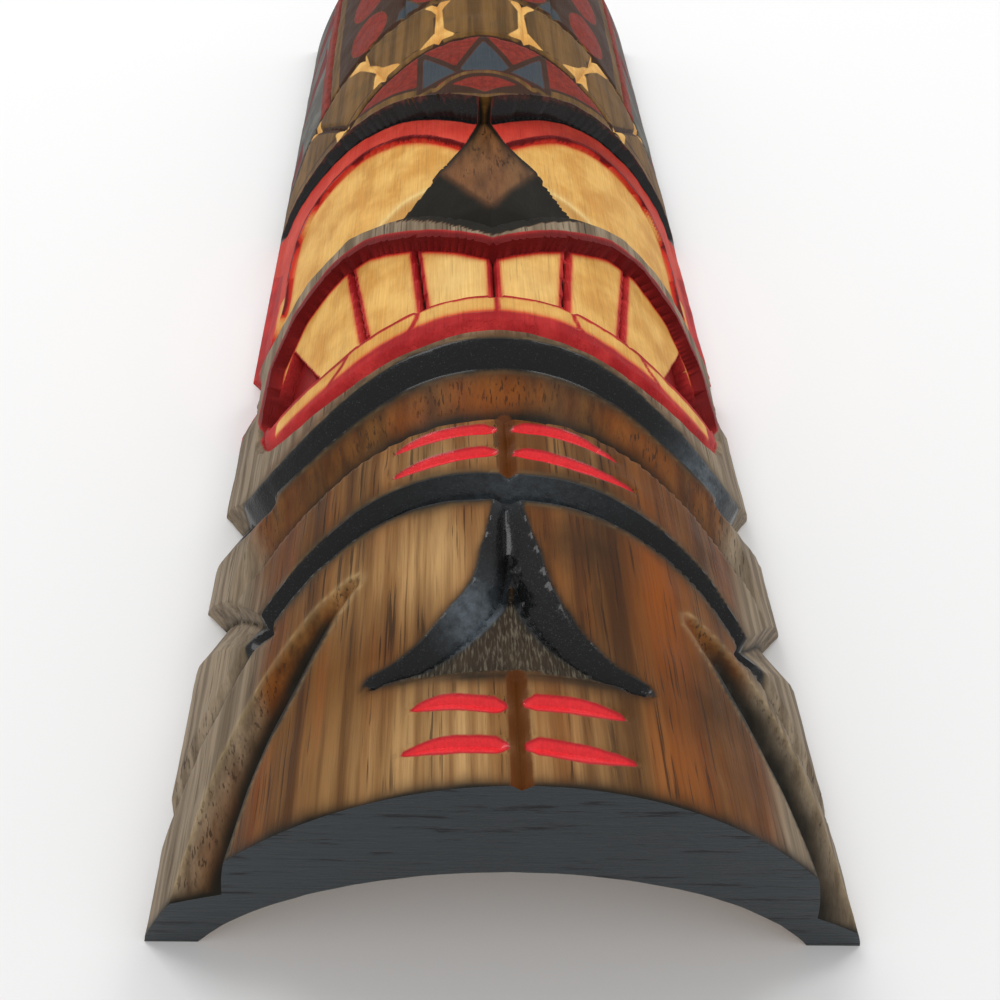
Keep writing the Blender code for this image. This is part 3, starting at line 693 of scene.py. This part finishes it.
def paint_eyes(sheet):
    """Yellow eyes with airbrushed red margins, red lids over a dark line, a black brow wall, a sooty nose, and
    painted shadow in each eye's hollow beside the nose with a painted highlight along its rim.
    """
    eyes = sheet.within(eyes_outline())[0]
    nose = sheet.within(nose_outline())[0]
    sheet.lay("salmon", np.where(sheet.along > LID_FROM * UNIT, eyes, -FAR))
    sheet.lay("yellow", np.where(sheet.along <= LID_FROM * UNIT, eyes - 0.4, -FAR))
    left_ball = eyeball_outline()
    for outline, lid in ((left_ball, EYELID_EDGE), (mirrored(left_ball), mirrored(EYELID_EDGE))):
        ball, _ = sheet.within(outline)
        sheet.lay("yellow", ball)
        which, off, _, _ = sheet.near(curve(lid, 8), FAR)
        sheet.lay("oxblood", 0.95 - np.abs(off), which)
        fade = np.exp(-np.clip(np.abs(off) - 1.2, 0, None) / 2.6) * (ball[which] > -0.5)
        sheet.tint("blush", fade, which)
    for ear in (EAR, mirrored(EAR)):
        inside = sheet.within(ear)[0]
        sheet.cover("crimson", inside)
        fade = np.exp(-np.clip(-inside, 0, None) / 3.4)
        sheet.tint("blush", fade)
    sheet.cloud("dark_paint_and_shade", (0.3, 1.6), (0.18, 0.09), 0.75)
    # Painted shadow in the eye's hollow beside the nose, and a painted highlight along its rim.
    ring = [(-0.3, 1.16), (-0.275, 1.25), (-0.215, 1.33), (-0.14, 1.36)]
    for path in (ring, mirrored(ring)[::-1]):
        sheet.smoke("eye_hollow_shade", path, 0, 9, 1.0, -1)
        sheet.smoke("painted_highlight", path, 0.4, 1.4, 0.8)
    sheet.lay_line("black", both_halves(BROW_EDGE), 0.15, low=3.0, steps=1)
    off_nose = np.where(nose > -20, -nose - 1.3, FAR)
    for name in ("yellow", "salmon", "oxblood", "black"):
        sheet.paint[name] = np.minimum(sheet.paint[name], off_nose)
    sheet.shade["grey"] = np.where(nose > -4, 0.1, sheet.shade["grey"])
    lower = [NOSE_SHOULDER, NOSE_TIP, *mirrored([NOSE_SHOULDER, NOSE_WING]), NOSE_BASE, NOSE_WING]
    darkening = np.clip(0.5 + sheet.within(lower)[0] / 5, 0, 1)
    darkening = np.maximum(darkening, 0.95 * np.exp(-np.clip(nose - 0.3, 0, None) / 2.2))
    sheet.shade["scorch_and_shade"] = np.where(nose > -4, darkening, sheet.shade["scorch_and_shade"])


def petals(sheet):
    """Rows of petals over the arch: how far inside one each point lies."""
    arch = curve(both_halves(BAND_ARCH), 8)
    inside = np.full(len(sheet.across), -FAR)
    columns = PETAL_COLUMNS + [(-middle, width) for middle, width in PETAL_COLUMNS[1:]]
    for middle, width in columns:
        centre = unroll([(middle, 0)])[0][0]
        start = np.interp(centre, arch[:, 0], arch[:, 1])
        spread = 1 + 0.15 * (sheet.along - start) / UNIT
        for row in range(3):
            rise = start + (0.115 + 0.235 * row) * UNIT
            across = np.abs(sheet.across - centre * spread) / (width * UNIT)
            along = np.abs(sheet.along - rise) / (0.105 * UNIT)
            inside = np.maximum(inside, (1 - across**1.8 - along**2.2) * width * UNIT * 0.5)
    return inside


def paint_headdress(sheet):
    """A red field with blue rays, brown plates parted by yellow, red petals, pale sides with red spikes."""
    brow = both_halves(BROW_EDGE)
    which, off, _, _ = sheet.near(curve(brow, 1), 12 * UNIT)
    above = np.full(len(sheet.across), -FAR)
    above[which] = off
    sheet.lay("olive", above)
    foot = [(0, 1.613), (-0.1, 1.66), (-0.2, 1.713), (-0.285, 1.748)]
    field = both_halves(FIELD_ARCH) + both_halves(foot)[::-1]
    sheet.cover("salmon", sheet.within(field)[0] - 0.8)
    sheet.lay_line("outline", brow, (RIM_WIDTH + 0.012) * UNIT, low=-RIM_WIDTH * UNIT, steps=1)
    hood = [(-0.118, 1.645), *LENS_ARCH, (0.118, 1.645), (0, 1.61)]
    sheet.cover("outline", sheet.within(hood)[0] + 1.6)
    for ray in (CENTRE_RAY, SIDE_RAY, mirrored(SIDE_RAY)):
        inside = sheet.within(ray)[0]
        sheet.lay("outline", np.minimum(inside + 1.4, 1.4 - inside))
        sheet.cover("blue", inside - 1.3)
    sheet.cover("salmon", sheet.within(LENS)[0])
    which, off, _, _ = sheet.near(curve(LENS_ARCH, 8), 12)
    sheet.cover("olive", 1.3 - np.abs(off), which)
    which, off, _, _ = sheet.near(curve(both_halves(FIELD_ARCH), 8), 16)
    sheet.lay("outline", np.minimum(1.2 - np.abs(off), above[which]), which)
    sheet.lay("outline", 0.5 - np.abs(off - 5.2), which)
    which, off, _, _ = sheet.near(curve(both_halves(BAND_ARCH), 8), 6 * UNIT)
    outside = np.full(len(sheet.across), -FAR)
    outside[which] = off
    outside = np.where(above > 0, outside, -FAR)
    aside, ahead = zip(*mirrored(SIDE_BORDER))
    border = np.interp(np.interp(sheet.along / UNIT, ahead, aside) * WIDTH, TABLE_X, TABLE_WAY)
    to_side = np.abs(sheet.across) - border
    sheet.lay("outline", np.minimum(outside - 1.5, -to_side - 8.5))
    for wedge in (WEDGE, mirrored(WEDGE)):
        sheet.cover("blue", sheet.within(wedge)[0])
    sheet.cover("salmon", np.minimum(np.minimum(petals(sheet), outside - 2.0), -to_side - 9))
    sheet.cover("salmon", np.minimum(np.minimum(outside - 1.0, to_side - 0.2), 7.5 - to_side))
    sheet.cover("pale", np.minimum(outside - 1.0, to_side - 7.5))
    sheet.lay("outline", np.minimum(0.7 - np.abs(outside - 1.0), above))
    sheet.lay("outline", np.minimum(0.45 - np.abs(outside + 3.2), above))
    sheet.lay("outline", np.minimum(0.6 - np.abs(to_side), outside))
    sheet.lay("outline", np.minimum(0.5 - np.abs(to_side + 8.7), outside))
    for spike in SPIKES:
        for outline in (spike, mirrored(spike)):
            sheet.cover("oxblood", np.minimum(sheet.within(outline)[0], outside - 1))
    for gap in PLATE_GAPS:
        for line in (gap, mirrored(gap)):
            which, off, _, _ = sheet.near(curve(line, 1), 12)
            on_plates = np.minimum(above[which], -outside[which])
            sheet.lay("outline", np.minimum(1.9 - np.abs(off), on_plates), which)
    for mark in GAP_MARKS:
        for outline in (mark, mirrored(mark)):
            sheet.cover("yellow", np.minimum(sheet.within(outline)[0] + 0.3, above))
    sheet.shade["blush"] = np.where(above > 0, 0.12, sheet.shade["blush"])
    sheet.shade["dark_paint_and_shade"] = np.where(above > 0, 0.8, sheet.shade["dark_paint_and_shade"])


def paint(sheet):
    paint_wood(sheet)
    paint_chin(sheet)
    paint_mouth(sheet)
    paint_eyes(sheet)
    paint_headdress(sheet)


def hollow_profile():
    """The round gouged back: its circle's radius and the height of its middle."""
    half = HALF - FOOT_WIDTH
    radius = (half * half + HOLLOW_HEIGHT * HOLLOW_HEIGHT) / (2 * HOLLOW_HEIGHT)
    return radius, HOLLOW_HEIGHT - radius


def close_flat(form, edges, slot):
    """Fills one flat opening of the shell."""
    made = bmesh.ops.triangle_fill(form, use_beauty=True, use_dissolve=False, edges=edges)
    for face in made["geom"]:
        if isinstance(face, bmesh.types.BMFace):
            face.material_index = slot


def make_mask():
    """One closed shell: the carved front, the gouged hollow behind it, the two feet and the two sawn ends."""
    form = bmesh.new()
    bmesh.ops.create_grid(form, x_segments=COLUMNS, y_segments=ROWS, size=1)
    front = len(form.verts)
    bmesh.ops.create_grid(form, x_segments=HOLLOW_COLUMNS, y_segments=HOLLOW_ROWS, size=1)
    form.verts.ensure_lookup_table()
    places = np.array([vertex.co[:2] for vertex in form.verts])
    share = (places[:, 1] + 1) / 2
    fine = FINE_ROWS / ROWS
    above = FINE_UP_TO + (share - fine) / (1 - fine) * (1 - FINE_UP_TO)
    along = np.where(share < fine, share / fine * FINE_UP_TO, above)
    coarse = (1 - FINE_UP_TO) / (ROWS - FINE_ROWS)
    cell = np.where(share < fine, FINE_UP_TO / FINE_ROWS, coarse) * LENGTH * MM
    sheet = Sheet(places[:front, 0] * REACH, along[:front] * LENGTH * MM, cell[:front])
    carve(sheet)
    sheet.start_cutting()
    carve(sheet)
    paint(sheet)
    rough = 0.22 * wobble(sheet.across, sheet.along, 26, 3)
    rough += 0.1 * wobble(sheet.across, sheet.along * 0.5, 9, 4)
    depth = (sheet.depth + rough * (sheet.loose_along & sheet.loose_across) + 0.25) / MM
    depth = np.clip(depth, 0, None)
    corners = np.zeros((len(places), 3))
    corners[:front, 0] = sheet.x + np.sin(sheet.tilt) * depth
    corners[:front, 1] = sheet.along / MM + LOW.y
    corners[:front, 2] = np.clip(sheet.z - np.cos(sheet.tilt) * depth, 0, None)
    radius, middle = hollow_profile()
    spread = math.acos(-middle / radius)
    turn = places[front:, 0] * spread
    gouged = radius + 0.0003 * wobble(turn * radius * MM, share[front:] * LENGTH * MM * 0.4, 15, 8)
    at_feet = np.abs(places[front:, 0]) > RIM
    gouged = np.where(at_feet, radius, gouged)
    corners[front:, 0] = gouged * np.sin(turn)
    corners[front:, 1] = share[front:] * LENGTH + LOW.y
    corners[front:, 2] = np.where(at_feet, 0, middle + gouged * np.cos(turn))
    for vertex, corner in zip(form.verts, corners):
        vertex.co = corner
    for face in form.faces:
        face.material_index = 2 if face.verts[0].index >= front else 0
    rims = [edge for edge in form.edges if edge.is_boundary]
    ends = {"chin": [], "top": [], "left": [], "right": []}
    for edge in rims:
        a, b = (places[vertex.index] for vertex in edge.verts)
        if a[1] < -RIM and b[1] < -RIM:
            ends["chin"].append(edge)
        elif a[1] > RIM and b[1] > RIM:
            ends["top"].append(edge)
        elif a[0] < 0:
            ends["left"].append(edge)
        else:
            ends["right"].append(edge)
    corner_of = {}
    for index, (a, b) in enumerate(places):
        if abs(a) > RIM and abs(b) > RIM:
            corner_of.setdefault((a > 0, b > 0), []).append(form.verts[index])
    for (right, top), (outer, inner) in corner_of.items():
        rung = form.edges.new((outer, inner))
        ends["top" if top else "chin"].append(rung)
        ends["right" if right else "left"].append(rung)
    for name, edges in ends.items():
        close_flat(form, edges, 1 if name in ("chin", "top") else 2)
    bmesh.ops.recalc_face_normals(form, faces=form.faces)
    if form.calc_volume(signed=True) < 0:
        bmesh.ops.reverse_faces(form, faces=form.faces)
    mesh = bpy.data.meshes.new("carved_mask")
    form.to_mesh(mesh)
    form.free()
    for name, values in (*sheet.paint.items(), *sheet.shade.items()):
        layer = mesh.attributes.new(name, "FLOAT", "POINT")
        layer.data.foreach_set("value", np.concatenate([values, np.zeros(len(places) - front)]))
    mesh.shade_smooth()
    mesh.set_sharp_from_angle(angle=SMOOTH_ANGLE)
    mask = bpy.data.objects.new("carved_mask", mesh)
    bpy.context.collection.objects.link(mask)
    return mask


class Number:
    """A number on the surface, for shader maths written as Python sums."""

    def __init__(self, shader, socket):
        self.shader, self.socket = shader, socket

    def sum(self, operation, first, second):
        return self.shader.node("ShaderNodeMath", {"operation": operation}, {0: first, 1: second})

    def __add__(self, other):
        return self.sum("ADD", self, other)

    def __sub__(self, other):
        return self.sum("SUBTRACT", self, other)

    def __rsub__(self, other):
        return self.sum("SUBTRACT", other, self)

    def __mul__(self, other):
        return self.sum("MULTIPLY", self, other)

    __radd__ = __add__
    __rmul__ = __mul__


class Shader:
    """A material's node tree, built node by node."""

    def __init__(self, name):
        self.material = bpy.data.materials.new(name)
        self.material.use_nodes = True
        self.tree = self.material.node_tree
        self.surface = self.tree.nodes["Principled BSDF"]
        self.place = self.node("ShaderNodeTexCoord", output="Object")

    def node(self, kind, settings=None, inputs=None, output=0):
        node = self.tree.nodes.new(kind)
        for name, value in (settings or {}).items():
            setattr(node, name, value)
        for name, value in (inputs or {}).items():
            if isinstance(value, Number):
                self.tree.links.new(value.socket, node.inputs[name])
            else:
                node.inputs[name].default_value = value
        return Number(self, node.outputs[output])

    def attribute(self, name):
        return self.node("ShaderNodeAttribute", {"attribute_name": name}, output="Fac")

    def ramp(self, value, low, high, start=0.0, end=1.0):
        """A smooth step from start to end as value goes from low to high."""
        settings = {"interpolation_type": "SMOOTHSTEP"}
        return self.node("ShaderNodeMapRange", settings, {0: value, 1: low, 2: high, 3: start, 4: end})

    def mix(self, share, first, second, blend="MIX"):
        settings = {"data_type": "RGBA", "blend_type": blend}
        return self.node("ShaderNodeMix", settings, {0: share, 6: first, 7: second}, output=2)

    def noise(self, stretch, detail=3.0, roughness=0.55):
        """Noise between 0 and 1, with this many humps to the metre along each axis."""
        settings = {"operation": "MULTIPLY"}
        place = self.node("ShaderNodeVectorMath", settings, {0: self.place, 1: stretch})
        inputs = {"Vector": place, "Scale": 1.0, "Detail": detail, "Roughness": roughness}
        return self.node("ShaderNodeTexNoise", None, inputs)

    def bump(self, height, strength):
        inputs = {"Strength": strength, "Distance": 1.0, "Height": height}
        self.set("Normal", self.node("ShaderNodeBump", None, inputs, output="Normal"))

    def set(self, name, value):
        if isinstance(value, Number):
            self.tree.links.new(value.socket, self.surface.inputs[name])
        else:
            self.surface.inputs[name].default_value = value


def tone(red, green, blue):
    """A colour from its values out of 255, as a screen shows them."""
    parts = [part / 255 for part in (red, green, blue)]
    return (*[p / 12.92 if p <= 0.04045 else ((p + 0.055) / 1.055) ** 2.4 for p in parts], 1)


def painted_wood():
    shader = Shader("painted_wood")
    area = {name: shader.attribute(name) for name in (*PAINTS, *SHADES)}
    streaks = shader.noise((240, 8, 240), 4)
    bands = shader.noise((60, 3.0, 60), 3)
    fibre = shader.noise((1900, 50, 1900), 3)
    pores = shader.ramp(shader.noise((1300, 30, 1300), 2, 0.5), 0.57, 0.66)
    pores = pores * shader.ramp(shader.noise((110, 25, 110), 2), 0.38, 0.58)
    pores = pores * shader.ramp(area["scorch_and_shade"], 0.2, 0.7, 1, 0)
    blotch = shader.noise((80, 70, 80), 4)
    brush = shader.noise((420, 420, 420), 3)
    glint_specks = shader.noise((2600, 2600, 2600), 2)

    warm = shader.mix(shader.ramp(streaks, 0.32, 0.68), tone(68, 38, 12), tone(116, 74, 30))
    glow = shader.ramp(bands, 0.4, 0.62)
    warm = shader.mix(glow * (0.25 + 0.75 * area["orange"]), warm, tone(152, 78, 18))
    pale = shader.mix(shader.ramp(streaks, 0.35, 0.65), tone(146, 104, 58), tone(206, 164, 108))
    warm = shader.mix(area["light"] * 0.85, warm, pale)
    grey = shader.mix(shader.ramp(streaks, 0.3, 0.7), tone(104, 88, 68), tone(158, 140, 116))
    wood = shader.mix(area["grey"], warm, grey)
    wood = shader.mix(shader.ramp(fibre, 0.4, 0.75) * 0.4, wood, tone(52, 34, 20))
    wood = shader.mix(pores * 0.7, wood, tone(30, 20, 13))
    wood = shader.mix(area["worn"], wood, tone(206, 178, 128))
    uneven = (blotch - 0.5) * 0.55 + (streaks - 0.5) * 0.35
    # Scorching, together with painted shade in creases, darkens the wood.
    scorch_and_shade = area["scorch_and_shade"] + uneven * shader.ramp(area["scorch_and_shade"], 0, 0.3)
    colour = shader.mix(shader.ramp(scorch_and_shade, 0.08, 0.95), wood, tone(26, 22, 14))

    def coat(colour, name, paint, soft, uneven, strength=1.0):
        edge = area[name] + (brush - 0.5) * uneven
        return shader.mix(shader.ramp(edge, -soft, soft) * strength, colour, paint)

    grain = shader.ramp(fibre, 0.25, 0.8, 0.86, 1.06)
    olive = shader.mix(shader.ramp(streaks, 0.3, 0.7), tone(84, 58, 22), tone(122, 88, 42))
    olive = shader.mix(shader.ramp(blotch, 0.5, 0.75) * 0.4, olive, tone(78, 70, 48))
    yellow = shader.mix(shader.ramp(blotch, 0.3, 0.7), tone(208, 150, 72), tone(232, 184, 104))
    # Painted shadow of the eyes' hollows, then painted highlights.
    yellow = shader.mix(area["eye_hollow_shade"] * 0.75, yellow, tone(176, 124, 60))
    yellow = shader.mix(area["painted_highlight"], yellow, tone(240, 208, 138))
    blush = shader.ramp(area["blush"] + (blotch - 0.5) * 0.25, 0.12, 0.9)
    yellow = shader.mix(blush, yellow, tone(200, 44, 30))
    crimson = shader.mix(shader.ramp(blotch, 0.35, 0.7), tone(158, 26, 30), tone(196, 52, 50))
    crimson = shader.mix(area["dark_paint_and_shade"], crimson, tone(100, 10, 8))
    salmon = shader.mix(shader.ramp(blotch, 0.35, 0.7), tone(192, 56, 44), tone(208, 74, 58))
    dark_red = shader.mix(shader.ramp(brush, 0.35, 0.65), tone(66, 16, 4), tone(110, 32, 14))
    salmon = shader.mix(area["dark_paint_and_shade"], salmon, dark_red)
    # Black paint, with light specks painted in as glints off its lacquer.
    black = shader.mix(shader.ramp(glint_specks, 0.62, 0.72), tone(18, 18, 18), tone(60, 64, 70))
    # Painted sheen on the black, where lamps would reflect in it.
    painted_sheen = area["painted_highlight"] * shader.ramp(brush, 0.2, 0.7, 0.35, 1)
    black = shader.mix(painted_sheen, black, tone(104, 114, 122))
    smoke = shader.mix(shader.ramp(fibre, 0.45, 0.7), tone(40, 37, 30), tone(92, 86, 72))
    colour = coat(colour, "smoke", smoke, 0.8, 1.0, 0.92)
    colour = coat(colour, "amber", tone(96, 50, 16), 0.5, 0.6, 0.85)
    colour = coat(colour, "olive", olive, 0.4, 0.5)
    pale_paint = shader.mix(shader.ramp(blotch, 0.4, 0.7), tone(78, 76, 72), tone(112, 112, 106))
    colour = coat(colour, "pale", pale_paint, 0.5, 0.8)
    colour = coat(colour, "salmon", salmon, 0.4, 0.7)
    colour = coat(colour, "blue", tone(58, 66, 72), 0.4, 0.6)
    colour = coat(colour, "yellow", yellow, 0.3, 0.3)
    colour = coat(colour, "crimson", crimson, 0.4, 0.5)
    colour = coat(colour, "oxblood", tone(104, 16, 18), 0.4, 0.5)
    colour = coat(colour, "outline", tone(58, 34, 20), 0.35, 0.4)
    colour = coat(colour, "black", black, 0.45, 0.7)
    red = shader.mix(shader.ramp(area["stroke"], 0.1, 0.9), tone(170, 24, 34), tone(226, 44, 50))
    colour = coat(colour, "stroke", red, 0.25, 0.4)
    shader.set("Base Color", shader.mix(1.0, colour, grain, "MULTIPLY"))

    wet = shader.ramp(area["black"], -0.5, 0.5) + shader.ramp(area["stroke"], -0.5, 0.5)
    shader.set("Roughness", 0.46 - 0.18 * wet + area["grey"] * 0.12 + (blotch - 0.5) * 0.2)
    lumps = shader.noise((1100, 1100, 1100), 2)
    height = (fibre * 0.00009 - pores * 0.0002) * (1 - wet) + lumps * wet * 0.00022 + brush * 0.0001
    shader.bump(height, 0.8)
    shader.set("Specular IOR Level", 0.1)
    shader.set("Coat Weight", wet * 0.3)
    shader.set("Coat Roughness", 0.12)
    return shader.material


def charcoal_end():
    shader = Shader("charcoal_end")
    blotch = shader.noise((40, 40, 60), 4)
    cracks = shader.noise((45, 100, 420), 5, 0.7)
    colour = shader.mix(blotch, tone(38, 43, 46), tone(58, 64, 68))
    colour = shader.mix(shader.ramp(cracks, 0.56, 0.64), colour, tone(16, 17, 22))
    shader.set("Specular IOR Level", 0.2)
    shader.set("Base Color", colour)
    shader.set("Roughness", 0.55 + (blotch - 0.5) * 0.3)
    shader.bump(cracks * -0.0012, 0.7)
    return shader.material


def raw_back():
    shader = Shader("raw_back")
    streaks = shader.noise((260, 9, 260), 4)
    blotch = shader.noise((40, 40, 40), 3)
    colour = shader.mix(shader.ramp(streaks, 0.3, 0.7), tone(140, 108, 74), tone(186, 152, 112))
    colour = shader.mix(shader.ramp(blotch, 0.5, 0.8) * 0.4, colour, tone(110, 82, 56))
    shader.set("Base Color", colour)
    shader.set("Roughness", 0.75)
    shader.bump(streaks * 0.0006, 0.6)
    return shader.material


def pale_floor():
    form = bmesh.new()
    bmesh.ops.create_grid(form, x_segments=1, y_segments=1, size=6)
    mesh = bpy.data.meshes.new("floor")
    form.to_mesh(mesh)
    form.free()
    floor = bpy.data.objects.new("floor", mesh)
    floor.location.z = LOW.z - 0.0002
    bpy.context.collection.objects.link(floor)
    shader = Shader("pale_floor")
    shader.set("Base Color", tone(240, 240, 240))
    shader.set("Roughness", 0.9)
    mesh.materials.append(shader.material)


def soft_lights():
    bpy.context.scene.view_settings.view_transform = "Standard"
    world = bpy.data.worlds.new("studio")
    bpy.context.scene.world = world
    world.use_nodes = True
    background = world.node_tree.nodes["Background"]
    background.inputs["Color"].default_value = (1, 1, 1, 1)
    background.inputs["Strength"].default_value = 0.72
    for name, place, size, power in (
        ("window", (-0.7, 0.5, 1.5), 0.7, 9),
        ("lamp", (0.8, 0.6, 1.3), 0.5, 5),
    ):
        light = bpy.data.lights.new(name, "AREA")
        light.size = size
        light.energy = power
        lamp = bpy.data.objects.new(name, light)
        lamp.location = place
        lamp.rotation_euler = (Vector((0, 0, 0)) - Vector(place)).to_track_quat("-Z", "Y").to_euler()
        bpy.context.collection.objects.link(lamp)


# The photograph's camera: where it stood, which way it looked and how its frame lies
CAMERA_PLACE = Vector((-0.01611, -0.34941, 0.263))
CAMERA_PITCH = math.radians(46.92)
CAMERA_ROLL = math.radians(0.36)
CAMERA_LENS = 37.33
CAMERA_SHIFT = 0.0601


def place_camera():
    camera = bpy.data.cameras.new("camera")
    camera.sensor_width = 36
    camera.lens = CAMERA_LENS
    camera.shift_x = CAMERA_SHIFT
    camera.clip_start = 0.01
    taker = bpy.data.objects.new("camera", camera)
    ahead = Vector((0, math.cos(CAMERA_PITCH), -math.sin(CAMERA_PITCH)))
    side, up = Vector((1, 0, 0)), Vector((0, math.sin(CAMERA_PITCH), math.cos(CAMERA_PITCH)))
    turned_side = side * math.cos(CAMERA_ROLL) + up * math.sin(CAMERA_ROLL)
    turned_up = up * math.cos(CAMERA_ROLL) - side * math.sin(CAMERA_ROLL)
    turn = Matrix((turned_side, turned_up, -ahead)).transposed().to_4x4()
    taker.matrix_world = Matrix.Translation(CAMERA_PLACE) @ turn
    bpy.context.collection.objects.link(taker)
    bpy.context.scene.camera = taker


place_camera()
pale_floor()
soft_lights()
mask = make_mask()
for material in (painted_wood(), charcoal_end(), raw_back()):
    mask.data.materials.append(material)
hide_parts("mask")
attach(mask, "root")
